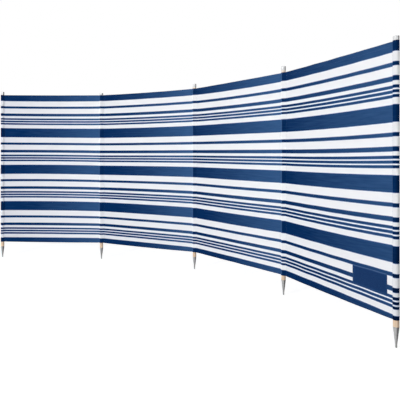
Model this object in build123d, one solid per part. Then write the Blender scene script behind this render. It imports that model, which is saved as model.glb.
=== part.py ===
"""Beach windbreak: pine poles on steel spikes, with bays of striped cloth between them.

Millimetres, +Z up. The origin is the flat end of the middle pole's spike, which is driven into the
sand. +X runs along the row from the first pole to the last, and +Y points to the back of the cloth.
The row stands in a curve, so each bay has its own heading, and the cloth hangs a little behind the
straight line between its poles. Each pole is turned from one dowel: a cone at the foot fills a rolled
steel spike, and a spigot at the head fills a steel cap. It stands in a sleeve of cloth, and the
sleeve's laps are sewn to the back of the panels on each side.
"""

from build123d import *

import math
import os

# The row, seen from above
BAY_LENGTH = 835.0  # straight line from one pole's axis to the next
FIRST_HEADING = 31.5  # degrees from +X to the first bay
BENDS = (19.8, 25.4, 15.8)  # degrees that the row turns to the front at each inner pole
BILLOW = 10.0  # the cloth's middle lies this far behind the straight line

# Heights
SPIKE_HEIGHT = 91.0
CLOTH_ABOVE_SPIKE = 36.0  # bare wood between the spike and the cloth
CLOTH_HEIGHT = 1200.0
POLE_ABOVE_CLOTH = (39.0, 20.0, 39.0, 41.0, 19.0)  # the cloth is slid to its own level on each pole

# Poles, spikes and caps
POLE_DIAMETER = 26.5
METAL_PROUD = 0.25  # spike rim and cap stand this far outside the wood
SPIKE_WALL = 1.2
SPIKE_NOSE_DIAMETER = 9.0
SPIKE_NOSE_LENGTH = 14.0
SPIKE_NOSE_BEVEL = 1.5
SPIKE_SOLID_LENGTH = 28.0  # solid steel below the cone of wood
CAP_HEIGHT = 24.0
CAP_WALL = 1.2
CAP_CROWN = 1.8  # thickness of the cap's top
CAP_BEVEL = 1.2
WOOD_GAP = 0.1  # between the wood and the metal pressed onto it

# Cloth
CLOTH_THICKNESS = 0.8
SLEEVE_EASE = 0.2  # between a pole's cap and its sleeve
SEAM_GAP = 0.1  # between layers that are sewn together
LAP = 14.0  # width of a sleeve's lap over the panel's edge
HEM_DEPTH = 25.0

# Label, sewn on the front of the last bay
LABEL_WIDTH = 215.0
LABEL_HEIGHT = 89.0
LABEL_THICKNESS = 0.8
LABEL_FROM_POLE = 53.0  # its edge from the last pole's axis
LABEL_BELOW_TOP = 1025.0  # its top edge from the top of the cloth

# Worked out from the sizes above
cloth_bottom = SPIKE_HEIGHT + CLOTH_ABOVE_SPIKE
cloth_top = cloth_bottom + CLOTH_HEIGHT
pole_radius = POLE_DIAMETER / 2
metal_radius = pole_radius + METAL_PROUD
nose_radius = SPIKE_NOSE_DIAMETER / 2
sleeve_inner = metal_radius + SLEEVE_EASE
sleeve_outer = sleeve_inner + CLOTH_THICKNESS
half_cloth = CLOTH_THICKNESS / 2
lap_end = sleeve_outer + LAP


class Bay:
    """One bay's curve in plan: an arc from one pole's axis to the next, centred in front of the row."""

    def __init__(self, start, heading):
        along = Vector(math.cos(math.radians(heading)), math.sin(math.radians(heading)))
        back = Vector(-along.Y, along.X)
        self.start = start
        self.end = start + along * BAY_LENGTH
        half_chord = BAY_LENGTH / 2
        self.radius = (half_chord**2 + BILLOW**2) / (2 * BILLOW)
        self.centre = start + along * half_chord + back * (BILLOW - self.radius)
        self.half_angle = math.asin(half_chord / self.radius)
        self.middle_angle = math.atan2(back.Y, back.X)
        self.length = 2 * self.half_angle * self.radius

    def point(self, distance, behind):
        """The point at a distance along the cloth from the first pole, and so far behind its middle."""
        angle = self.middle_angle + self.half_angle - distance / self.radius
        reach = self.radius + behind
        return self.centre + Vector(math.cos(angle), math.sin(angle)) * reach

    def strip(self, start, end, front, back):
        """A face that follows the bay, seen from above, between two distances and two depths."""
        middle = (start + end) / 2
        near = [self.point(s, front) for s in (start, middle, end)]
        far = [self.point(s, back) for s in (end, middle, start)]
        edges = [
            ThreePointArc(*near),
            Line(near[-1], far[0]),
            ThreePointArc(*far),
            Line(far[-1], near[0]),
        ]
        return make_face(edges)


def set_out():
    """The bays in order, moved so that the middle pole stands on the origin."""
    headings = [FIRST_HEADING]
    for bend in BENDS:
        headings.append(headings[-1] - bend)
    start = Vector(0, 0)
    for heading in headings[: len(headings) // 2]:
        start -= Bay(Vector(0, 0), heading).end
    bays = []
    for heading in headings:
        bays.append(Bay(start, heading))
        start = bays[-1].end
    return bays


def stand(face, bottom, height):
    """A plan face raised into a solid."""
    return Pos(0, 0, bottom) * extrude(face, amount=height, dir=(0, 0, 1))


def turned(*outline):
    """A solid turned about Z from the (radius, height) corners of its half section."""
    corners = [(radius, 0, height) for radius, height in outline]
    return revolve(make_face(Polyline(*corners, close=True)), Axis.Z)


def spike_radius(height):
    """Outer radius of the spike's cone at a height above its end."""
    share = (height - SPIKE_NOSE_LENGTH) / (SPIKE_HEIGHT - SPIKE_NOSE_LENGTH)
    return nose_radius + (metal_radius - nose_radius) * share


def make_spike():
    """Rolled steel cone with a short straight nose, solid at its foot and open at the top."""
    return turned(
        (0, 0),
        (nose_radius - SPIKE_NOSE_BEVEL, 0),
        (nose_radius, SPIKE_NOSE_BEVEL),
        (nose_radius, SPIKE_NOSE_LENGTH),
        (metal_radius, SPIKE_HEIGHT),
        (metal_radius - SPIKE_WALL, SPIKE_HEIGHT),
        (spike_radius(SPIKE_SOLID_LENGTH) - SPIKE_WALL, SPIKE_SOLID_LENGTH),
        (0, SPIKE_SOLID_LENGTH),
    )


def make_pole(top):
    """Dowel with a cone that fills the spike and a spigot that fills the cap, whose top is given."""
    cone_foot = SPIKE_SOLID_LENGTH + WOOD_GAP
    shoulder = SPIKE_HEIGHT + WOOD_GAP
    cone_inset = SPIKE_WALL + WOOD_GAP
    cap_rim = top - CAP_HEIGHT - WOOD_GAP
    cap_ceiling = top - CAP_CROWN - WOOD_GAP
    spigot_radius = metal_radius - CAP_WALL - WOOD_GAP
    return turned(
        (0, cone_foot),
        (spike_radius(cone_foot) - cone_inset, cone_foot),
        (spike_radius(shoulder) - cone_inset, shoulder),
        (pole_radius, shoulder),
        (pole_radius, cap_rim),
        (spigot_radius, cap_rim),
        (spigot_radius, cap_ceiling),
        (0, cap_ceiling),
    )


def make_cap():
    """Steel cup for a pole's head, rim at Z = 0, with a bevelled edge round the face that is hit."""
    return turned(
        (0, CAP_HEIGHT),
        (metal_radius - CAP_BEVEL, CAP_HEIGHT),
        (metal_radius, CAP_HEIGHT - CAP_BEVEL),
        (metal_radius, 0),
        (metal_radius - CAP_WALL, 0),
        (metal_radius - CAP_WALL, CAP_HEIGHT - CAP_CROWN),
        (0, CAP_HEIGHT - CAP_CROWN),
    )


def make_sleeve(pole, before, after):
    """Tube of cloth round a pole, with a lap behind each panel that meets it."""
    root = sleeve_inner + half_cloth
    front = half_cloth + SEAM_GAP
    back = front + CLOTH_THICKNESS
    section = Pos(pole) * (Circle(sleeve_outer) - Circle(sleeve_inner))
    if before:
        section += before.strip(before.length - lap_end, before.length - root, front, back)
    if after:
        section += after.strip(root, lap_end, front, back)
    return stand(section, cloth_bottom, CLOTH_HEIGHT)


def make_panel(bay):
    """Cloth of one bay, its top and bottom edges folded once to the back and hemmed."""
    edge = sleeve_outer + SEAM_GAP
    sheet = bay.strip(edge, bay.length - edge, -half_cloth, half_cloth)
    panel = stand(sheet, cloth_bottom, CLOTH_HEIGHT)
    hem_edge = lap_end + SEAM_GAP
    fold = bay.strip(
        hem_edge, bay.length - hem_edge, half_cloth, half_cloth + CLOTH_THICKNESS
    )
    panel += stand(fold, cloth_bottom, HEM_DEPTH)
    panel += stand(fold, cloth_top - HEM_DEPTH, HEM_DEPTH)
    return panel


def make_label(bay):
    """Bare patch that follows the curve of the bay's front face."""
    end = bay.length - LABEL_FROM_POLE
    seat = -half_cloth - SEAM_GAP
    patch = bay.strip(end - LABEL_WIDTH, end, seat - LABEL_THICKNESS, seat)
    return stand(patch, cloth_top - LABEL_BELOW_TOP - LABEL_HEIGHT, LABEL_HEIGHT)


def main():
    bays = set_out()
    poles = [bay.start for bay in bays] + [bays[-1].end]
    spike, cap = make_spike(), make_cap()
    parts = {"label_patch": make_label(bays[-1])}
    for number, place in enumerate(poles, start=1):
        before = bays[number - 2] if number > 1 else None
        after = bays[number - 1] if number <= len(bays) else None
        top = cloth_top + POLE_ABOVE_CLOTH[number - 1]
        parts[f"pole_{number}"] = Pos(place) * make_pole(top)
        parts[f"pole_spike_{number}"] = Pos(place) * spike
        parts[f"pole_cap_{number}"] = Pos(place.X, place.Y, top - CAP_HEIGHT) * cap
        parts[f"pole_sleeve_{number}"] = make_sleeve(place, before, after)
    for number, bay in enumerate(bays, start=1):
        parts[f"cloth_panel_{number}"] = make_panel(bay)

    os.makedirs("parts", exist_ok=True)
    for name, shape in parts.items():
        export_step(shape, f"parts/{name}.step")
    for number, place in enumerate(poles, start=1):
        print(f"pole {number} stands at {place.X:.3f}, {place.Y:.3f}")


main()
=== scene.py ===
"""Looks for a beach windbreak: striped cloth sewn round five pine poles with spikes and caps.

Metres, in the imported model's frame: +Z up, +X along the row from the first pole, +Y behind the
cloth. The poles, spikes and caps are the model's own solids with better materials. The cloth, its
sleeves, the bare patch and the sewing thread are made here, as thin closed meshes on the curve of
each bay.
"""

import math

import bmesh
import bpy
import numpy as np
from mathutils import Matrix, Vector


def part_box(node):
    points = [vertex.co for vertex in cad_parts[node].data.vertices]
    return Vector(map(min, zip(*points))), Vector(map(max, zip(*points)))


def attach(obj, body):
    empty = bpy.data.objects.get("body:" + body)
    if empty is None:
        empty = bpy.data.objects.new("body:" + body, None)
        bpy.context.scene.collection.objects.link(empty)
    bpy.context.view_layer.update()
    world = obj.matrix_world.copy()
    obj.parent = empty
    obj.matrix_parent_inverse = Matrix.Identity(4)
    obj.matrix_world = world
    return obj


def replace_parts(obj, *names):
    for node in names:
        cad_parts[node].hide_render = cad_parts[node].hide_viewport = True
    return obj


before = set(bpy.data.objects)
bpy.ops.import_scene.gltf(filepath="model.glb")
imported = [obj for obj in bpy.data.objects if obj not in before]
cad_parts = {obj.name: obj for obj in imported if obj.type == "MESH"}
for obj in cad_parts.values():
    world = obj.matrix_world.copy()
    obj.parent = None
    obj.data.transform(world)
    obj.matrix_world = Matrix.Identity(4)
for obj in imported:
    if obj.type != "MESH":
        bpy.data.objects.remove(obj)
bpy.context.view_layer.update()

MM = 0.001
POLES = (1, 2, 3, 4, 5)
BAYS = (1, 2, 3, 4)

# The cloth as it is cut and sewn
CANVAS = 0.45 * MM
HEM = 25 * MM
HEM_FOLD = 0.4 * MM  # radius at the middle of the canvas, where a hem turns back
HEM_STITCH = 21 * MM  # from the cloth's edge
HEM_STITCH_ENDS = 2 * MM  # its row of stitches stops this far short of a seam or a lap
BILLOW = 10 * MM  # a bay's middle lies this far behind the straight line between its poles
SLEEVE_RADIUS = 13.8 * MM  # middle of the canvas where it lies round a pole
INNER_SEAM, END_SEAM = 24 * MM, 17.5 * MM  # from the pole's axis to the seam beside it
SEAM_ALLOWANCE = 1.5 * MM  # a sleeve's back canvas joins its lap this far beyond the seam
SEAM_STITCH = 2.6 * MM  # beyond the seam
# Round the canvas from an inner sleeve's left seam to its crest in front, where its painted tones
# change and painted shade begins
CREST = {2: 19.9 * MM, 3: 23.4 * MM, 4: 29.2 * MM}
LAP_END = 30 * MM  # a sleeve's lap behind the panel ends this far from the axis
LAP_BEHIND = 0.85 * MM  # middle of the lap behind the middle of the panel
LAP_TO_HEM = 0.3 * MM  # the hem's fold stops this far short of the lap
STITCH = 3.6 * MM  # from one stitch to the next
STITCH_SIZE = np.array([2.5, 0.38, 0.25]) * MM  # long, wide and high

# The bare patch
PATCH_CLOTH = 0.45 * MM
PATCH_GAP = 0.06 * MM  # between it and the bay
BORDER_PROUD, MIDDLE_PROUD, EDGE_DROP = 0.4 * MM, 0.1 * MM, 0.25 * MM  # how its face stands
PATCH_BORDER = 7 * MM  # its turned-in edge
PATCH_CORNER = 3 * MM
PATCH_WIDER, PATCH_HIGHER = 1 * MM, 2 * MM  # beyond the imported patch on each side, and up and down
PATCH_SHIFT = 1 * MM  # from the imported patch's place towards the last pole
PATCH_STITCH = 3.5 * MM  # from its edge

# The side of each pole's wood and steel that gets painted shade, and on the steel a painted dark
# reflection, turned from +X towards the back
PAINTED_SHADE_SIDES = dict(zip(POLES, np.radians((54, 48, 41, 36, 26))))

# The print: one repeat of the stripes, as the depth in millimetres at which each stripe ends
REPEAT = 300
STRIPE_ENDS = (72.5, 115.7, 133.6, 175.3, 196.7, 214.9, 228.3, 235.2, 248.4, 255.2, 268.6, 297.8)
CUT_INTO_REPEAT = 26.7  # the cloth's top edge lies this far into a repeat
INK_EDGE = 1.2  # millimetres over which a stripe's edge gives out
INK_WANDER = 1.0  # millimetres by which it wanders
# The painted sheen on the navy in each bay: at its left pole and its right one, the power by which
# it goes from one to the other, and what is lost towards the foot
NAVY_SHEEN = (
    (0.0, 0.82, 1.6, 0.08),
    (0.03, 0.95, 1.6, 0.2),
    (0.1, 0.93, 1.15, 0.28),
    (0.05, 0.72, 0.8, 0.34),
)
# The painted light on the white in each bay, in the same way
WHITE_LIGHT = (
    (0.05, 0.76, 1.0, 0.04),
    (0.46, 0.84, 1.0, 0.12),
    (0.63, 0.85, 0.9, 0.05),
    (0.7, 0.78, 1.0, 0.15),
)

# How the cloth hangs, as measured in the photograph: millimetres that an edge stands above its
# packed level, first at each pole and then in the middle of each bay
TOP_RISE = ((13.4, 3.4, 4.4, 2.9, -0.2), (8.0, 1.6, 4.9, 2.4))
FOOT_RISE = ((1.8, 4.2, -0.9, -8.6, -10.0), (-0.4, -3.4, -8.3, -16.8))
END_FOOT_LIFT = 4.2 * MM  # the last sleeve's foot has crept up past the panel's
END_LIFT_FROM, END_LIFT_TO = 1.13, 1.21  # depths down the cloth over which it comes in
# How far the print has crept above its own level, measured in the same way at depths down the
# cloth
PRINT_RISE = {
    44.5: ((10.6, 1.2, 2.8, -2.4, -1.0), (4.0, 0.5, -3.5, -2.6)),
    309: ((11.8, 2.4, 2.2, -5.4, -5.4), (6.6, 0.6, -0.9, -8.3)),
    609: ((7.2, 1.8, -2.9, -12.0, -11.9), (8.2, 0.7, -8.8, -15.8)),
    909: ((6.9, 4.7, -3.3, -10.5, -16.8), (8.0, 1.1, -11.8, -21.6)),
    1173: ((8.3, 12.4, 3.1, -3.7, -18.8), (9.9, 5.9, -2.4, -13.1)),
}
# A bay's slow waves: height in millimetres, waves along the bay, waves to each metre down, start
SLACK_WAVES = 5
LEAST_WAVE, GREATEST_WAVE = (0.25, 2.0, -1.6, 0.0), (0.6, 5.0, 1.6, 2 * math.pi)
SLACK_FROM_SEAM = 120 * MM  # the waves are full this far from a seam
# Small puckers beside the hems and pulls beside the seams: height, length and how far they reach
HEM_PUCKER, PUCKER_LENGTH, PUCKER_REACH = 0.3 * MM, 27 * MM, 20 * MM
SEAM_PULL, PULL_LENGTH, PULL_REACH = 0.8 * MM, 34 * MM, 30 * MM
FLAT_BY_SEAM, FULL_BY_SEAM = 12 * MM, 30 * MM  # none to this distance from a seam, full from this
# The canvas on a pole: how far it stands off, its rings and its tucks
SLEEVE_SLACK, RING_LENGTH, TUCK_LENGTH = 0.1 * MM, 47 * MM, 19 * MM
TIGHT_BY_SEAM, SLACK_BY_SEAM = 8 * MM, 20 * MM

# Seeds of the random draws. Bays and poles add their own numbers.
WAVE_SEED, HEM_SEED, SEAM_SEED, PATCH_SEED = 40, 60, 80, 100


def srgb(red, green, blue):
    """A colour given as 0 to 255 on a screen, as the shader's linear light."""
    shares = [c / 255 for c in (red, green, blue)]
    linear = [c / 12.92 if c <= 0.04045 else ((c + 0.055) / 1.055) ** 2.4 for c in shares]
    return (*linear, 1.0)


# Colours
# The navy as it is, in painted sheen and in painted shade
PLAIN_NAVY, SHEEN_NAVY, SHADED_NAVY = srgb(4, 41, 86), srgb(57, 93, 139), srgb(1, 16, 46)
# The white in painted shade and in painted light
SHADED_WHITE, BRIGHT_WHITE = srgb(213, 214, 220), srgb(251, 252, 254)
BLED_NAVY = srgb(92, 136, 200)  # where ink has run into the white
# The patch's navy, its paler border, and its painted highlight
PATCH_NAVY, EDGE_NAVY, HIGHLIGHT_NAVY = srgb(11, 46, 92), srgb(26, 63, 108), srgb(98, 128, 176)
THREAD_NAVY, THREAD_SHEEN = srgb(66, 86, 126), srgb(94, 112, 150)
EARLY_WOOD, LATE_WOOD = srgb(236, 212, 186), srgb(204, 169, 134)
# Wood bleached at the head, wood in painted shade, and the pores
BLEACHED_WOOD, SHADED_WOOD, PORE = srgb(250, 238, 226), srgb(158, 134, 112), srgb(160, 122, 90)
ZINC, SPANGLE = srgb(190, 190, 190), srgb(166, 166, 167)
# Zinc in painted shade and painted dark reflection, and scuffed zinc
SHADED_ZINC, SCUFFED_ZINC = srgb(88, 88, 89), srgb(118, 116, 114)
PLATE, BRUSHED_PLATE = srgb(230, 231, 232), srgb(206, 207, 209)
# Plate in painted shade and painted dark reflection, and spotted plate
SHADED_PLATE, SPOTTED_PLATE = srgb(96, 95, 94), srgb(150, 149, 148)
FLOOR_WHITE, LAMP_WHITE = srgb(243, 243, 243), (1, 1, 1, 1)

# Periods of what repeats in the materials
WEAVE, TWILL, GROWTH_RING = 1.6 * MM, 1.8 * MM, 3.6 * MM


# Materials


class Level:
    """A socket of a finish, with the sums that build on it."""

    def __init__(self, finish, socket):
        self.finish, self.socket = finish, socket

    def math(self, operation, *inputs, clamp=False):
        settings = {"operation": operation, "use_clamp": clamp}
        return self.finish.node("Math", settings, dict(enumerate(inputs)))

    def __add__(self, other):
        return self.math("ADD", self, other)

    __radd__ = __add__

    def __sub__(self, other):
        return self.math("SUBTRACT", self, other)

    def __rsub__(self, other):
        return self.math("SUBTRACT", other, self)

    def __mul__(self, other):
        return self.math("MULTIPLY", self, other)

    __rmul__ = __mul__

    def __pow__(self, power):
        return self.math("POWER", self, power)

    def between(self, low, high):
        """0 below low and 1 above high."""
        return self.math("DIVIDE", self - low, high - low, clamp=True)

    def wave(self, period):
        """A sine of this period, from 0 to 1."""
        return self.math("SINE", self * (2 * math.pi / period)) * 0.5 + 0.5

    def fraction(self):
        return self.math("FRACT", self)


class Finish:
    """Nodes being set out in a material or in the world."""

    def __init__(self, owner):
        owner.use_nodes = True
        self.tree = owner.node_tree
        self.tree.nodes.clear()

    def node(self, kind, settings=None, inputs=None, output=0):
        """Adds a node, makes its settings and then fills or links its sockets."""
        node = self.tree.nodes.new("ShaderNode" + kind)
        for name, value in (settings or {}).items():
            if name == "stops":
                self.set_stops(node.color_ramp, value)
            else:
                setattr(node, name, value)
        for key, value in (inputs or {}).items():
            if isinstance(value, Level):
                self.tree.links.new(value.socket, node.inputs[key])
            else:
                node.inputs[key].default_value = value
        return Level(self, node.outputs[output]) if len(node.outputs) else None

    def set_stops(self, ramp, stops):
        while len(ramp.elements) < len(stops):
            ramp.elements.new(1.0)
        for element, (place, colour) in zip(ramp.elements, stops):
            element.position, element.color = place, colour

    def axes(self, place):
        """The three parts of a place."""
        split = self.node("SeparateXYZ", {}, {0: place}).socket.node
        return [Level(self, out) for out in split.outputs]

    def blend(self, share, first, second):
        """Two colours mixed by a share from 0 to 1."""
        return self.node("Mix", {"data_type": "RGBA"}, {0: share, 6: first, 7: second}, output=2)

    def level(self, name):
        """A level that the mesh carries at its points."""
        return self.node("Attribute", {"attribute_name": name}, output="Fac")

    def noise(self, place, scale, detail=2.0, roughness=0.5):
        """Noise from 0 to 1, with so many features to the metre along each axis."""
        spread = self.node("Mapping", {}, {"Vector": place, "Scale": scale})
        inputs = {"Vector": spread, "Scale": 1.0, "Detail": detail, "Roughness": roughness}
        return self.node("TexNoise", {}, inputs)

    def painted_shade_side(self, number, low, high):
        """0 on most of a pole's wood or steel and 1 on the side that gets painted shade."""
        x, y, _ = self.axes(self.node("TexCoord", output="Generated"))
        right, back = math.cos(PAINTED_SHADE_SIDES[number]), math.sin(PAINTED_SHADE_SIDES[number])
        return (x * right + y * back - (right + back) / 2).between(low, high)

    def bump(self, height, depth, strength=1.0):
        return self.node("Bump", {}, {"Height": height, "Distance": depth, "Strength": strength})


class Surface(Finish):
    """A material with one shader, on which a value that is the same all over is set."""

    def __init__(self, name):
        self.material = bpy.data.materials.new(name)
        super().__init__(self.material)

    def done(self, inputs):
        shader = self.node("BsdfPrincipled", {}, inputs)
        self.node("OutputMaterial", {}, {"Surface": shader})
        return self.material


def stripe_stops():
    """The repeat of the print as ramp stops: 0 for navy, 1 for white and a soft edge between."""
    navy, white = (0, 0, 0, 1), (1, 1, 1, 1)
    stops, colour, other = [(0.0, navy)], navy, white
    for end in STRIPE_ENDS:
        starts, gives_out = (end - INK_EDGE / 2) / REPEAT, (end + INK_EDGE / 2) / REPEAT
        stops += [(starts, colour), (gives_out, other)]
        colour, other = other, colour
    return stops


def make_striped_cloth():
    """Printed canvas, with painted sheen on the navy and painted light on the white that grow along
    each bay from its left pole to its right one, and painted shade on the sleeves' navy. The navy
    bleeds a lighter blue into the white along each stripe's edge."""
    cloth = Surface("striped_cloth")
    place = cloth.node("UVMap", {"uv_map": "print"})
    across, down, _ = cloth.axes(place)
    wander = cloth.noise(place, (60.0, 60.0, 1.0), detail=3.0)
    repeat = (down * (1 / (REPEAT * MM)) + (wander - 0.5) * (INK_WANDER / REPEAT)).fraction()
    ink = cloth.node("ValToRGB", {"stops": stripe_stops()}, {"Fac": repeat})

    slubs = cloth.noise(place, (28.0, 700.0, 1.0), detail=3.0)
    warps = cloth.noise(place, (900.0, 24.0, 1.0), detail=3.0)
    cloud = cloth.noise(place, (5.0, 7.0, 1.0))
    streaks = cloth.noise(place, (9.0, 130.0, 1.0))
    uneven = (slubs - 0.5) * 0.5 + (warps - 0.5) * 0.35 + (cloud - 0.5) * 0.25
    # Painted sheen along the bay, on top of the cloth's own slubs and streaks
    sheen_and_slubs = cloth.level("paling") + uneven * 0.24 + (streaks - 0.5) * 0.5
    navy = cloth.blend(sheen_and_slubs, PLAIN_NAVY, SHEEN_NAVY)
    # Painted shade on the sleeves' navy
    navy = cloth.blend(cloth.level("shade"), navy, SHADED_NAVY)
    # Painted light on the white, with its own uneven tone
    white = cloth.blend(cloth.level("whiteness") + uneven * 0.18, SHADED_WHITE, BRIGHT_WHITE)

    print_colour = cloth.blend(ink, navy, white)
    bleed = ink * (1.0 - ink) * 3.6
    print_colour = cloth.blend(bleed, print_colour, BLED_NAVY)

    weave = (across.wave(WEAVE) - 0.5) * (down.wave(WEAVE) - 0.5)
    height = weave * 2.0 + slubs * 0.5 + warps * 0.5
    return cloth.done(
        {
            "Base Color": print_colour,
            "Roughness": 0.86 + uneven * 0.2,
            "Specular IOR Level": 0.02,
            "Normal": cloth.bump(height, 0.12 * MM, 0.6),
        }
    )


def make_patch_cloth():
    """Plain navy twill, a little paler along its turned-in border, with a painted highlight along
    its top.
    """
    cloth = Surface("label_cloth")
    place = cloth.node("UVMap", {"uv_map": "print"})
    across, down, _ = cloth.axes(place)
    twill = (across + down).wave(TWILL)
    rub = cloth.noise(place, (90.0, 260.0, 1.0), detail=4.0)
    worn = rub.between(0.35, 0.75) * 0.6 + cloth.level("border") * 0.4
    navy = cloth.blend(worn, PATCH_NAVY, EDGE_NAVY)
    return cloth.done(
        {
            # A painted highlight along the top
            "Base Color": cloth.blend(cloth.level("rubbed") * 0.45, navy, HIGHLIGHT_NAVY),
            "Roughness": 0.7 + rub * 0.15,
            "Specular IOR Level": 0.12,
            "Normal": cloth.bump(twill * 0.7 + rub * 0.4, 0.15 * MM, 0.7),
        }
    )


def make_thread():
    """Navy sewing thread with a twist."""
    thread = Surface("navy_thread")
    place = thread.node("TexCoord", output="Object")
    twist = thread.noise(place, (900.0, 900.0, 900.0), detail=1.0)
    return thread.done(
        {
            "Base Color": thread.blend(twist.between(0.3, 0.7), THREAD_NAVY, THREAD_SHEEN),
            "Roughness": 0.6 + twist * 0.2,
            "Specular IOR Level": 0.2,
            "Normal": thread.bump(twist, 0.1 * MM),
        }
    )


def make_pine(number):
    """Planed pine, with long grain, fine pores and some darker latewood, bleached at the head and
    with painted shade on one side.
    """
    pine = Surface(f"pole_wood_{number}")
    place = pine.node("TexCoord", output="Object")
    x, y, height = pine.axes(place)
    sway = pine.noise(place, (14.0, 14.0, 2.5))
    grain = pine.noise(place, (210.0, 210.0, 5.0), detail=3.0, roughness=0.6)
    lines = (x * 0.8 + y * 0.6 + sway * 0.02).wave(GROWTH_RING)
    pores = pine.noise(place, (1600.0, 1600.0, 45.0))
    late = grain.between(0.42, 0.68) * 0.45 + lines**4.0 * 0.3
    wood = pine.blend(late, EARLY_WOOD, LATE_WOOD)
    wood = pine.blend(height.between(1.28, 1.32) * 0.8, wood, BLEACHED_WOOD)
    # Painted shade on one side of the wood
    wood = pine.blend(pine.painted_shade_side(number, 0.0, 0.45) * 0.5, wood, SHADED_WOOD)
    wood = pine.blend(pores.between(0.55, 0.8) * 0.35, wood, PORE)
    return pine.done(
        {
            "Base Color": wood,
            "Roughness": 0.6 + late * 0.15,
            "Specular IOR Level": 0.1,
            "Normal": pine.bump(pores * 0.5 + grain * 0.6, 0.15 * MM, 0.5),
        }
    )


def make_spike_steel(number):
    """Galvanised sheet: faint spangle, painted shade and a painted dark reflection on one side, and
    more scuffs towards the point.
    """
    steel = Surface(f"spike_steel_{number}")
    place = steel.node("TexCoord", output="Object")
    height = steel.axes(place)[2]
    spangle = steel.node("TexVoronoi", {}, {"Vector": place, "Scale": 210.0}, output="Distance")
    scuff = steel.noise(place, (420.0, 420.0, 90.0), detail=4.0, roughness=0.65)
    worn = scuff.between(0.45, 0.72) * (1.0 - height.between(5 * MM, 75 * MM) * 0.7)
    zinc = steel.blend(spangle.between(0.1, 0.9) * 0.6, ZINC, SPANGLE)
    # Painted shade and a painted dark reflection on one side of the zinc
    zinc = steel.blend(steel.painted_shade_side(number, -0.08, 0.1) * 0.88, zinc, SHADED_ZINC)
    return steel.done(
        {
            "Base Color": steel.blend(worn * 0.5, zinc, SCUFFED_ZINC),
            "Metallic": 0.05,
            "Specular IOR Level": 0.2,
            "Roughness": 0.42 + worn * 0.2 + spangle * 0.08,
            "Normal": steel.bump(scuff * 0.6 + spangle * 0.3, 0.1 * MM, 0.35),
        }
    )


def make_cap_steel(number):
    """Drawn and plated caps, brushed round, dulled in patches, with painted shade and a painted dark
    reflection on one side.
    """
    steel = Surface(f"cap_steel_{number}")
    place = steel.node("TexCoord", output="Object")
    brushed = steel.noise(place, (90.0, 90.0, 2600.0))
    dull = steel.noise(place, (260.0, 260.0, 260.0), detail=4.0).between(0.5, 0.75)
    plate = steel.blend(brushed * 0.5, PLATE, BRUSHED_PLATE)
    # Painted shade and a painted dark reflection on one side of the plate
    plate = steel.blend(steel.painted_shade_side(number, 0.14, 0.26) * 0.85, plate, SHADED_PLATE)
    return steel.done(
        {
            "Base Color": steel.blend(dull * 0.3, plate, SPOTTED_PLATE),
            "Metallic": 0.2,
            "Roughness": 0.26 + dull * 0.16 + brushed * 0.06,
            "Normal": steel.bump(brushed * 0.4 + dull * 0.4, 0.05 * MM, 0.4),
        }
    )


striped_cloth = make_striped_cloth()
patch_cloth = make_patch_cloth()
navy_thread = make_thread()


# The bays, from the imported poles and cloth


def middle_of(node):
    """The axis of a turned piece, seen from above."""
    low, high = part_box(node)
    return np.array([(low.x + high.x) / 2, (low.y + high.y) / 2])


pole_axes = [middle_of(f"pole_{n}") for n in POLES]
cloth_low, cloth_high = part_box("cloth_panel_1")
CLOTH_TOP, CLOTH_HEIGHT = cloth_high.z, cloth_high.z - cloth_low.z


def through(left, middle, right, share):
    """The smooth curve through three values, at a share of the way along."""
    at_left = left * (1 - share) * (1 - 2 * share)
    return at_left + middle * 4 * share * (1 - share) + right * share * (2 * share - 1)


def ease(value, low, high):
    """0 below low, 1 above high and smooth between."""
    share = np.clip((value - low) / (high - low), 0, 1)
    return share * share * (3 - 2 * share)


def uneven_wave(place, length, sway, bend, start):
    """A sine of about this length, whose crests are drawn together and apart."""
    return np.sin(2 * math.pi * place / length + sway * np.sin(place * bend + start))


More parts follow.
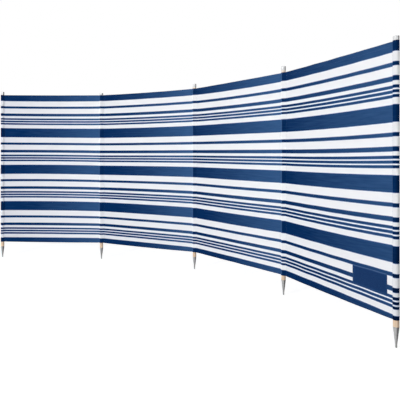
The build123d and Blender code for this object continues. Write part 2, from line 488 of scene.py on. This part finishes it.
class Bay:
    """One bay of cloth as it hangs: an arc seen from above, with edges that are slightly slack."""

    def __init__(self, number):
        self.number = number
        start, end = pole_axes[number - 1], pole_axes[number]
        chord = np.linalg.norm(end - start)
        along = (end - start) / chord
        back = np.array([-along[1], along[0]])
        self.radius = (chord**2 / 4 + BILLOW**2) / (2 * BILLOW)
        self.centre = (start + end) / 2 + back * (BILLOW - self.radius)
        self.half_angle = math.asin(chord / 2 / self.radius)
        self.middle_angle = math.atan2(back[1], back[0])
        self.length = 2 * self.half_angle * self.radius
        self.first = INNER_SEAM if number > BAYS[0] else END_SEAM
        self.last = self.length - (INNER_SEAM if number < BAYS[-1] else END_SEAM)
        draw = np.random.default_rng(WAVE_SEED + number)
        self.waves = draw.uniform(LEAST_WAVE, GREATEST_WAVE, (SLACK_WAVES, 4))

    def at_this_bay(self, values):
        """A value at the left pole, mid bay and the right pole."""
        poles, middles = values
        return poles[self.number - 1], middles[self.number - 1], poles[self.number]

    def rise(self, along, down):
        """How far a point of the cloth hangs above its packed level."""
        share = along / self.length
        top = through(*self.at_this_bay(TOP_RISE), share)
        foot = through(*self.at_this_bay(FOOT_RISE), share)
        return (top + (foot - top) * down / CLOTH_HEIGHT) * MM

    def ripple(self, along, down):
        """How far slack and the pull of seams and hems set the cloth behind its arc."""
        from_seam = np.minimum(along - self.first, self.last - along)
        from_edge = np.minimum(down, CLOTH_HEIGHT - down)
        slack = 0
        for size, over, slope, start in self.waves:
            turns = over * (along / self.length + slope * down)
            slack = slack + size * MM * np.sin(2 * math.pi * turns + start)
        pucker = HEM_PUCKER * uneven_wave(along, PUCKER_LENGTH, 1.4, 31, self.number)
        pull = SEAM_PULL * uneven_wave(down, PULL_LENGTH, 1.5, 23, 2 * self.number)
        sewn = pucker * np.exp(-np.abs(from_edge) / PUCKER_REACH)
        sewn = sewn + pull * np.exp(-np.abs(from_seam) / PULL_REACH)
        sewn = sewn * ease(from_seam, FLAT_BY_SEAM, FULL_BY_SEAM)
        return slack * ease(from_seam, 0, SLACK_FROM_SEAM) + sewn

    def place(self, along, down, behind):
        """Points so far along the cloth from its left pole's axis, below its top and behind it."""
        along, down, behind = np.broadcast_arrays(along, down, behind)
        angle = self.middle_angle + self.half_angle - along / self.radius
        reach = self.radius + behind + self.ripple(along, down)
        x = self.centre[0] + np.cos(angle) * reach
        y = self.centre[1] + np.sin(angle) * reach
        return np.stack([x, y, CLOTH_TOP - down + self.rise(along, down)], axis=-1)

    def print_at(self, along, down):
        """Where a point of the cloth lies on the print, in metres across and down."""
        along, down = np.broadcast_arrays(along, down)
        depths = sorted(PRINT_RISE)
        rises = [through(*self.at_this_bay(PRINT_RISE[d]), along / self.length) for d in depths]
        creep = rises[0]
        for upper, lower, start, end in zip(rises, rises[1:], depths, depths[1:]):
            share = (down / MM - start) / (end - start)
            creep = creep + (lower - upper) * np.clip(share, 0, 1)
        across = along + (self.number - 1) * self.length
        depth = down + (CUT_INTO_REPEAT + creep) * MM - self.rise(along, down)
        return np.stack([across, depth], axis=-1)

    def tones(self, along, down):
        """The painted sheen on the navy and the painted light on the white, both less so near the
        foot.
        """
        share = np.clip(along / self.length, 0, 1)
        depth = np.clip(down / CLOTH_HEIGHT, 0, 1)
        levels = {"shade": 0.0}
        for name, table in (("paling", NAVY_SHEEN), ("whiteness", WHITE_LIGHT)):
            start, end, power, lost = table[self.number - 1]
            levels[name] = start + (end - start) * share**power - lost * depth**2
        return levels


bays = {n: Bay(n) for n in BAYS}


# Thin closed meshes


def make_piece(name, mesh, material):
    """An object that rides with the model, its faces turned outwards and its folds kept crisp."""
    shape = bmesh.new()
    shape.from_mesh(mesh)
    bmesh.ops.recalc_face_normals(shape, faces=shape.faces)
    shape.to_mesh(mesh)
    shape.free()
    mesh.shade_smooth()
    mesh.set_sharp_from_angle(angle=math.radians(50))
    mesh.materials.append(material)
    piece = bpy.data.objects.new(name, mesh)
    bpy.context.scene.collection.objects.link(piece)
    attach(piece, "root")
    return piece


class Shell:
    """A thin closed mesh, gathered as grids of points and the skins between them."""

    def __init__(self):
        self.points, self.faces, self.prints = [], [], []
        self.levels = {}
        self.count = 0

    def layer(self, points, prints, levels):
        """Adds a grid of points, with places on the print and named levels, and numbers them."""
        shape = points.shape[:-1]
        numbers = self.count + np.arange(math.prod(shape)).reshape(shape)
        self.count += numbers.size
        self.points.append(points.reshape(-1, 3))
        self.prints.append(np.broadcast_to(prints, (*shape, 2)).reshape(-1, 2))
        for name, level in levels.items():
            self.levels.setdefault(name, []).append(np.broadcast_to(level, shape).ravel())
        return numbers

    def skin(self, grid):
        """Faces between the neighbours of a grid of point numbers."""
        corners = grid[:-1, :-1], grid[1:, :-1], grid[1:, 1:], grid[:-1, 1:]
        self.faces.append(np.stack(corners, axis=-1).reshape(-1, 4))

    def between(self, first, second):
        """Faces between two lines of point numbers."""
        self.skin(np.stack([first, second]))

    def close(self, front, back):
        """Two grids as the sides of one thin sheet, with its rims."""
        self.skin(front)
        self.skin(back)
        for edge in (np.s_[0], np.s_[-1], np.s_[:, 0], np.s_[:, -1]):
            self.between(front[edge], back[edge])

    def make(self, name, material, slot):
        points, faces = (np.concatenate(grids).tolist() for grids in (self.points, self.faces))
        mesh = bpy.data.meshes.new(name)
        mesh.from_pydata(points, [], faces)
        corner = np.zeros(len(mesh.loops), dtype=np.int32)
        mesh.loops.foreach_get("vertex_index", corner)
        prints = np.concatenate(self.prints).astype(np.float32)[corner]
        mesh.uv_layers.new(name="print").data.foreach_set("uv", prints.ravel())
        for level, values in self.levels.items():
            values = np.concatenate(values).astype(np.float32)
            mesh.attributes.new(level, "FLOAT", "POINT").data.foreach_set("value", values)
        return make_piece(name, mesh, material)


EDGE_ROWS = np.array([0, 3, 8, 13, 18, 22, 25, 30]) * MM
MIDDLE_ROWS, HEMMED_COLUMNS = 96, 112


def cloth_rows():
    """Depths down the cloth, closer together along its hems."""
    last = EDGE_ROWS[-1]
    middle = np.linspace(last, CLOTH_HEIGHT - last, MIDDLE_ROWS + 2)[1:-1]
    return np.concatenate([EDGE_ROWS, middle, CLOTH_HEIGHT - EDGE_ROWS[::-1]])


def hem_turn(side):
    """The way one side of the canvas turns into a hem, as (back along the cloth, behind it)."""
    bend = HEM_FOLD - side * CANVAS / 2
    angles = np.linspace(0, math.pi, 7)[1:]
    turn = np.column_stack([-bend * np.sin(angles), HEM_FOLD - bend * np.cos(angles)])
    flat = np.column_stack([HEM * np.array([0.3, 0.65, 1.0]), np.full(3, HEM_FOLD + bend)])
    return np.concatenate([turn, flat])


def make_bay_cloth(bay):
    """One bay of canvas from seam to seam, folded to the back along its top and foot."""
    hem_start = LAP_END + LAP_TO_HEM
    hemmed = np.linspace(hem_start, bay.length - hem_start, HEMMED_COLUMNS)
    to_hem = np.linspace(bay.first, hemmed[0], 4)[:-1]
    from_hem = np.linspace(hemmed[-1], bay.last, 4)[1:]
    along = np.concatenate([to_hem, hemmed, from_hem])
    columns = slice(len(to_hem), len(to_hem) + len(hemmed))
    shell = Shell()

    def lay(a, d, behind, print_down):
        return shell.layer(bay.place(a, d, behind), bay.print_at(a, print_down), bay.tones(a, d))

    a, d = np.meshgrid(along, cloth_rows(), indexing="ij")
    front, back = lay(a, d, -CANVAS / 2, d), lay(a, d, CANVAS / 2, d)
    for side in (front, back):
        shell.skin(side)
    for end in (0, -1):
        shell.between(front[end], back[end])
    for row, edge, inwards in ((0, 0.0, 1), (-1, CLOTH_HEIGHT, -1)):
        for flat in (slice(0, columns.start + 1), slice(columns.stop - 1, None)):
            shell.between(front[flat, row], back[flat, row])
        folded = []
        for grid, side in ((front, -1), (back, 1)):
            turn = hem_turn(side)
            a, turned = np.meshgrid(hemmed, turn[:, 0], indexing="ij")
            added = lay(a, edge + inwards * turned, turn[:, 1], edge - inwards * np.abs(turned))
            folded.append(np.column_stack([grid[columns, row], added]))
        outer, under = folded
        shell.skin(outer)
        shell.skin(under)
        shell.between(outer[:, -1], under[:, -1])
        for end in (0, -1):
            shell.between(outer[end], under[end])
    piece = shell.make(f"cloth_bay_{bay.number}", striped_cloth, "striped_cloth")
    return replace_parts(piece, f"cloth_panel_{bay.number}")


# Sleeves


def wrap(start, end, axis, turn, sweep):
    """Canvas from one point to another, straight onto a pole and round it, seen from above."""

    def lift(point):
        return math.acos(SLEEVE_RADIUS / np.linalg.norm(point - axis))

    arm = start - axis
    reached = np.linspace(lift(start), sweep - lift(end), max(10, round(sweep * 9)))
    angles = math.atan2(arm[1], arm[0]) + turn * reached
    round_pole = axis + SLEEVE_RADIUS * np.column_stack([np.cos(angles), np.sin(angles)])
    steps = np.linspace(0, 1, 4)[:-1, None]
    onto = start + (round_pole[0] - start) * steps
    off = end + (round_pole[-1] - end) * steps
    return np.concatenate([onto, round_pole, off[::-1]])


class Sleeve:
    """The canvas round one pole, sewn to the bay on each side of it."""

    def __init__(self, number):
        self.number = number
        self.axis = pole_axes[number - 1]
        self.before, self.after = bays.get(number - 1), bays.get(number)
        if self.before and self.after:
            left, right = (self.heading(bay) for bay in (self.before, self.after))
            over = (right - left) % (2 * math.pi)
            front = wrap(*self.both(INNER_SEAM, 0), self.axis, 1, over)
            start, end = self.both(INNER_SEAM + SEAM_ALLOWANCE, LAP_BEHIND)
            lap_start, lap_end = self.both(LAP_END, LAP_BEHIND)
            back = wrap(start, end, self.axis, -1, 2 * math.pi - over)
            self.lines = [front, np.concatenate([[lap_start], back, [lap_end]])]
        else:
            bay, turn = (self.before, -1) if self.before else (self.after, 1)
            start = self.beside(bay, END_SEAM + SEAM_ALLOWANCE, LAP_BEHIND)
            loop = wrap(start, self.beside(bay, END_SEAM, 0), self.axis, turn, 2 * math.pi)
            self.lines = [np.concatenate([[self.beside(bay, LAP_END, LAP_BEHIND)], loop])]

    def beside(self, bay, distance, behind):
        """A point of a bay's cloth at a distance from this pole, seen from above."""
        along = distance if bay is self.after else bay.length - distance
        return bay.place(along, CLOTH_HEIGHT / 2, behind)[:2]

    def both(self, distance, behind):
        return [self.beside(bay, distance, behind) for bay in (self.before, self.after)]

    def heading(self, bay):
        arm = self.beside(bay, INNER_SEAM, 0) - self.axis
        return math.atan2(arm[1], arm[0])

    def nearest_bay(self):
        """The bay whose print and level the sleeve takes up, and the pole's distance along it."""
        return (self.after, 0.0) if self.after else (self.before, self.before.length)

    def wrinkle(self, length, down, total):
        """How far the canvas stands off the pole: slack rings and tucks, none at the seams."""
        rings = uneven_wave(down, RING_LENGTH, 2, 17, self.number)
        tucks = np.sin(2 * math.pi * (length / TUCK_LENGTH + down * 3) + self.number)
        loose = ease(length, TIGHT_BY_SEAM, SLACK_BY_SEAM)
        loose = loose * ease(total - length, TIGHT_BY_SEAM, SLACK_BY_SEAM)
        return SLEEVE_SLACK * (1 + rings + rings * tucks) * loose

    def tones(self, length, down, front):
        """The painted tones of the start of the bay after, but in front those of the end of the bay
        before as far as the crest. The navy gets painted shade past the crest, round an end pole and
        near the last sleeve's foot, and the white gets painted light round the first pole, and
        painted light that turns to painted shade down the far side of the last."""
        if not self.after:
            # Round the last pole: painted shade on its far side and near its foot, and painted light
            # on the white high on its far side
            far_side = 1 - ease(length / length.max(), 0.5, 0.8)
            foot_shade = 0.8 * ease(down, 0.75, 1.15)
            return {
                "paling": 0.0,
                "whiteness": 0.5 + (0.5 - 0.9 * ease(down, 0.5, 1.2)) * far_side,
                "shade": foot_shade + (1 - foot_shade) * (0.5 + 0.4 * down / CLOTH_HEIGHT) * far_side,
            }
        levels = self.after.tones(0.0, down)
        if not self.before:
            # Round the first pole: painted light on the white and painted shade on the navy
            levels["whiteness"] = levels["whiteness"] + 0.3
            levels["shade"] = 0.1 + 0.6 * (1 - ease(length / length.max(), 0.6, 0.95))
        elif front:
            past = length - CREST[self.number]
            ends = self.before.tones(self.before.length, down)
            # Painted light on the white in front, and painted shade on the navy just past the crest
            ends["whiteness"] = ends["whiteness"] + 0.12
            levels["whiteness"] = levels["whiteness"] + 0.08
            levels["shade"] = 0.45 * np.exp(-past.clip(0) / (6 * MM))
            crest = ease(past, -1 * MM, 1 * MM)
            for name, level in levels.items():
                levels[name] = ends[name] + (level - ends[name]) * crest
        return levels

    def make(self):
        shell = Shell()
        bay, pole_along = self.nearest_bay()
        down = cloth_rows()
        rise = bay.rise(pole_along, down)
        if not self.after:
            rise = rise + END_FOOT_LIFT * ease(down, END_LIFT_FROM, END_LIFT_TO)
        for line in self.lines:
            steps = np.linalg.norm(np.diff(line, axis=0), axis=1)
            length = np.concatenate([[0], np.cumsum(steps)])
            tangent = np.gradient(line, length, axis=0)
            tangent /= np.linalg.norm(tangent, axis=1, keepdims=True)
            normal = np.column_stack([-tangent[:, 1], tangent[:, 0]])
            middle = len(line) // 2
            normal *= np.sign(normal[middle] @ (line[middle] - self.axis))
            l, d = np.meshgrid(length, down, indexing="ij")
            stand = self.wrinkle(l, d, length[-1])
            prints = bay.print_at(np.full_like(d, pole_along), d) + np.stack([l, 0 * l], axis=-1)
            sides = []
            for side in (1, -1):
                plan = line[:, None] + normal[:, None] * (stand + side * CANVAS / 2)[..., None]
                height = np.broadcast_to(CLOTH_TOP - down + rise, d.shape)
                points = np.concatenate([plan, height[..., None]], axis=-1)
                sides.append(shell.layer(points, prints, self.tones(l, d, line is self.lines[0])))
            shell.close(*sides)
        piece = shell.make(f"cloth_sleeve_{self.number}", striped_cloth, "striped_cloth")
        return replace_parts(piece, f"pole_sleeve_{self.number}")

    def flat_width(self):
        return sum(np.linalg.norm(np.diff(line, axis=0), axis=1).sum() for line in self.lines)


# Stitching

# One stitch, as (along, across, out) in shares of its length, width and height: its two ends and
# two rings of four points between them
STITCH_RING = [(-0.5, 0.1), (0, 1), (0.5, 0.1), (0, -0.4)]
STITCH_POINTS = np.array(
    [(-0.5, 0, -0.2)]
    + [(along, *point) for along in (-0.3, 0.3) for point in STITCH_RING]
    + [(0.5, 0, -0.2)]
)
RING_SIDES = ((1, 2), (2, 3), (3, 4), (4, 1))
STITCH_FACES = [(0, a, b) for a, b in RING_SIDES]
STITCH_FACES += [(a, b, b + 4, a + 4) for a, b in RING_SIDES]
STITCH_FACES += [(9, a + 4, b + 4) for a, b in RING_SIDES]


class Stitching:
    """A run of small stitches, gathered over one or more seams."""

    def __init__(self, seed):
        self.points = []
        self.draw = np.random.default_rng(seed)

    def sew(self, bay, along, down, behind, front):
        """Stitches on the cloth along a line, on its front or on its back."""
        here = bay.place(along, down, behind)
        ahead = np.gradient(here, axis=0)
        out = bay.place(along, down, behind + (-1 if front else 1) * MM) - here
        ahead, out = (v / np.linalg.norm(v, axis=1, keepdims=True) for v in (ahead, out))
        across = np.cross(out, ahead)
        size = STITCH_SIZE * self.draw.uniform(0.9, 1.1, (len(here), 3))
        skew = self.draw.normal(0, 0.05, (len(here), 1))
        ahead, across = ahead + across * skew, across - ahead * skew
        frames = np.stack([ahead, across, out], axis=1) * size[:, :, None]
        self.points.append(here[:, None] + np.einsum("ka,nab->nkb", STITCH_POINTS, frames))

    def along_edge(self, bay, down, start, end, behind, front):
        along = np.arange(start, end, STITCH)
        self.sew(bay, along, np.full_like(along, down), behind, front)

    def down_seam(self, bay, along, behind, front):
        down = np.arange(STITCH, CLOTH_HEIGHT - STITCH / 2, STITCH)
        self.sew(bay, np.full_like(down, along), down, behind, front)

    def make(self, name, slot):
        points = np.concatenate(self.points).reshape(-1, 3)
        faces = []
        for first in range(0, len(points), len(STITCH_POINTS)):
            faces += [[first + corner for corner in face] for face in STITCH_FACES]
        mesh = bpy.data.meshes.new(name)
        mesh.from_pydata(points.tolist(), [], faces)
        return make_piece(name, mesh, navy_thread)


def sew_hems(bay):
    thread = Stitching(HEM_SEED + bay.number)
    for down in (HEM_STITCH, CLOTH_HEIGHT - HEM_STITCH):
        start, end = bay.first + HEM_STITCH_ENDS, bay.last - HEM_STITCH_ENDS
        thread.along_edge(bay, down, start, end, -CANVAS / 2, front=True)
        start, end = LAP_END + HEM_STITCH_ENDS, bay.length - LAP_END - HEM_STITCH_ENDS
        thread.along_edge(bay, down, start, end, 2 * HEM_FOLD + CANVAS / 2, front=False)
    return thread.make(f"hem_stitching_{bay.number}", "striped_cloth")


def sew_sleeve(sleeve):
    thread = Stitching(SEAM_SEED + sleeve.number)
    for bay in filter(None, (sleeve.before, sleeve.after)):
        first, last = bay.first + SEAM_STITCH, bay.last - SEAM_STITCH
        along = first if bay is sleeve.after else last
        thread.down_seam(bay, along, -CANVAS / 2, front=True)
        thread.down_seam(bay, along, LAP_BEHIND + CANVAS / 2, front=False)
    return thread.make(f"seam_stitching_{sleeve.number}", "striped_cloth")


# The bare patch


class Patch:
    """A bare patch of navy twill, its edge turned in, on the front of a bay."""

    def __init__(self, bay):
        self.bay = bay
        low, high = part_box("label_patch")
        ends = np.array([(low.x, high.y), (high.x, low.y)])
        near, far = sorted(np.linalg.norm(ends - pole_axes[bay.number], axis=1))
        self.half_width = (far - near) / 2 + PATCH_WIDER
        self.half_height = (high.z - low.z) / 2 + PATCH_HIGHER
        self.along = bay.length - (far + near) / 2 + PATCH_SHIFT
        level = CLOTH_TOP - (high.z + low.z) / 2
        self.down = level + float(bay.rise(self.along, level))
        self.seat = -CANVAS / 2 - PATCH_GAP

    def face(self):
        """Points across and up from its middle, drawn in at its rounded corners."""
        columns = np.linspace(-self.half_width, self.half_width, 61)
        rows = np.linspace(-self.half_height, self.half_height, 29)
        across, up = np.meshgrid(columns, rows, indexing="ij")
        corner_x = np.abs(across) - (self.half_width - PATCH_CORNER)
        corner_y = np.abs(up) - (self.half_height - PATCH_CORNER)
        in_corner = (corner_x > 0) & (corner_y > 0)
        inwards = np.maximum(corner_x, corner_y) / np.hypot(corner_x, corner_y).clip(1e-9)
        tuck = np.where(in_corner, 1 - inwards, 0)
        return across - np.sign(across) * corner_x * tuck, up - np.sign(up) * corner_y * tuck

    def make(self):
        across, up = self.face()
        to_edge = np.minimum(self.half_width - np.abs(across), self.half_height - np.abs(up))
        border = 1 - ease(to_edge, PATCH_BORDER - 1 * MM, PATCH_BORDER + 2 * MM)
        rounded = 1 - ease(to_edge, -1 * MM, 1.2 * MM)
        # A painted highlight along the patch's top edge
        rubbed = 1 - ease(self.half_height - up, 2 * MM, 6 * MM)
        give = 0.1 * MM * np.sin(across * 410) * np.sin(up * 380)
        proud = border * BORDER_PROUD + (1 - border) * MIDDLE_PROUD - rounded * EDGE_DROP - give
        shell = Shell()
        prints = np.stack([across, up], axis=-1)
        sides = []
        for behind in (self.seat - PATCH_CLOTH - proud, self.seat):
            points = self.bay.place(self.along + across, self.down - up, behind)
            sides.append(shell.layer(points, prints, {"border": border, "rubbed": rubbed}))
        shell.close(*sides)
        piece = shell.make("bare_patch", patch_cloth, "label_cloth")
        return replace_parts(piece, "label_patch")

    def sew(self):
        thread = Stitching(PATCH_SEED)
        x, y = self.half_width - PATCH_STITCH, self.half_height - PATCH_STITCH
        behind = self.seat - PATCH_CLOTH - BORDER_PROUD
        for down in (self.down - y, self.down + y):
            thread.along_edge(self.bay, down, self.along - x, self.along + x, behind, front=True)
        for along in (self.along - x, self.along + x):
            down = np.arange(self.down - y, self.down + y, STITCH)
            thread.sew(self.bay, np.full_like(down, along), down, behind, front=True)
        return thread.make("patch_stitching", "label_cloth")


def dress_solids():
    """Better materials on the model's own poles, spikes and caps."""
    finishes = {"pole": make_pine, "pole_spike": make_spike_steel, "pole_cap": make_cap_steel}
    for number in POLES:
        for kind, make_finish in finishes.items():
            material = make_finish(number)
            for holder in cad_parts[f"{kind}_{number}"].material_slots:
                holder.material = material


def make_cloth():
    """All the soft pieces: the sleeves, the bays, their stitching and the bare patch."""
    sleeves = {n: Sleeve(n) for n in POLES}
    made = {n: sleeve.make() for n, sleeve in sleeves.items()}
    for number, sleeve in sleeves.items():
        sleeve.flat_width()
        sew_sleeve(sleeve)
    for number, bay in bays.items():
        make_bay_cloth(bay)
        made[number + 1]
        sew_hems(bay)
    patch = Patch(bays[BAYS[-1]])
    patch.make()
    patch.sew()


# Studio

PICTURE = 400  # pixels along each side
CAMERA_PLACE = (2.00583, -2.69808, 0.81797)
CAMERA_TURN = math.radians(35.9348)  # to the left from +Y
FOCAL_LENGTH, HORIZON = 455.103, 158.247  # pixels, and pixels below the picture's top
SENSOR = 36  # millimetres
ROOM_LIGHT = 0.34
FLOOR_SHOWS, FLOOR_GLOW = 0.12, 5.35  # the glow's share of the floor, and its strength
FLOOR_REACH = 30  # from its middle to each side
CLOTH_MIDDLE, LAST_SLEEVE = (0, -0.2, 0.6), (1.54, -0.6, 1.1)
# Each soft box: its place, what it faces, the length of its side and its watts
LAMPS = {
    "key": ((-0.35, -4.8, 0.95), CLOTH_MIDDLE, 0.5, 126),
    "fill": ((5.2, -3.2, 1.8), CLOTH_MIDDLE, 1.0, 8),
    "side": ((3.0, -0.8, 2.2), LAST_SLEEVE, 0.5, 2.8),
    "back": ((-2.0, 5.4, 1.1), CLOTH_MIDDLE, 1.0, 80),
}


def place_camera():
    camera = bpy.data.objects.new("camera", bpy.data.cameras.new("camera"))
    camera.location = CAMERA_PLACE
    camera.rotation_euler = (math.radians(90), 0, CAMERA_TURN)
    camera.data.sensor_width = SENSOR
    camera.data.lens = SENSOR * FOCAL_LENGTH / PICTURE
    camera.data.shift_y = (HORIZON - PICTURE / 2) / PICTURE
    camera.data.clip_end = 100
    bpy.context.scene.collection.objects.link(camera)
    bpy.context.scene.camera = camera


def seen_directly(finish):
    """1 for what the camera sees itself or in a gloss or a glass, and 0 for what only lights."""
    kinds = ("Camera", "Glossy", "Transmission")
    seen, in_gloss, in_glass = (finish.node("LightPath", output=f"Is {k} Ray") for k in kinds)
    return seen.math("ADD", seen + in_gloss, in_glass, clamp=True)


def light_world():
    """An even white room, which shows as plain white."""
    world = bpy.data.worlds.new("studio")
    bpy.context.scene.world = world
    room = Finish(world)
    lights = room.node("Background", {}, {"Color": LAMP_WHITE, "Strength": ROOM_LIGHT})
    shows = room.node("Background", {}, {"Color": LAMP_WHITE, "Strength": 1.0})
    mixed = room.node("MixShader", {}, {0: seen_directly(room), 1: lights, 2: shows})
    room.node("OutputWorld", {}, {"Surface": mixed})


def lay_floor():
    """A white floor, seen as white but for the shadow where something stands on it."""
    mesh = bpy.data.meshes.new("floor")
    sides = ((-1, -1), (1, -1), (1, 1), (-1, 1))
    mesh.from_pydata([(x * FLOOR_REACH, y * FLOOR_REACH, 0) for x, y in sides], [], [(0, 1, 2, 3)])
    floor = bpy.data.objects.new("floor", mesh)
    bpy.context.scene.collection.objects.link(floor)
    material = bpy.data.materials.new("white_floor")
    paint = Finish(material)
    matt = paint.node("BsdfDiffuse", {}, {"Color": FLOOR_WHITE})
    glow = paint.node("Emission", {}, {"Color": LAMP_WHITE, "Strength": FLOOR_GLOW})
    share = seen_directly(paint) * FLOOR_SHOWS
    mixed = paint.node("MixShader", {}, {0: share, 1: matt, 2: glow})
    paint.node("OutputMaterial", {}, {"Surface": mixed})
    mesh.materials.append(material)


def hang_lamp(name, place, aim, size, power):
    """A square soft box at one place that faces another."""
    lamp = bpy.data.lights.new(name, "AREA")
    lamp.shape, lamp.size, lamp.energy = "SQUARE", size, power
    box = bpy.data.objects.new(name, lamp)
    box.location = place
    box.rotation_euler = (Vector(aim) - Vector(place)).to_track_quat("-Z", "Y").to_euler()
    bpy.context.scene.collection.objects.link(box)


def light_studio():
    view = bpy.context.scene.view_settings
    view.view_transform = "Standard"
    light_world()
    lay_floor()
    for name, lamp in LAMPS.items():
        hang_lamp(name, *lamp)


dress_solids()
make_cloth()
place_camera()
light_studio()
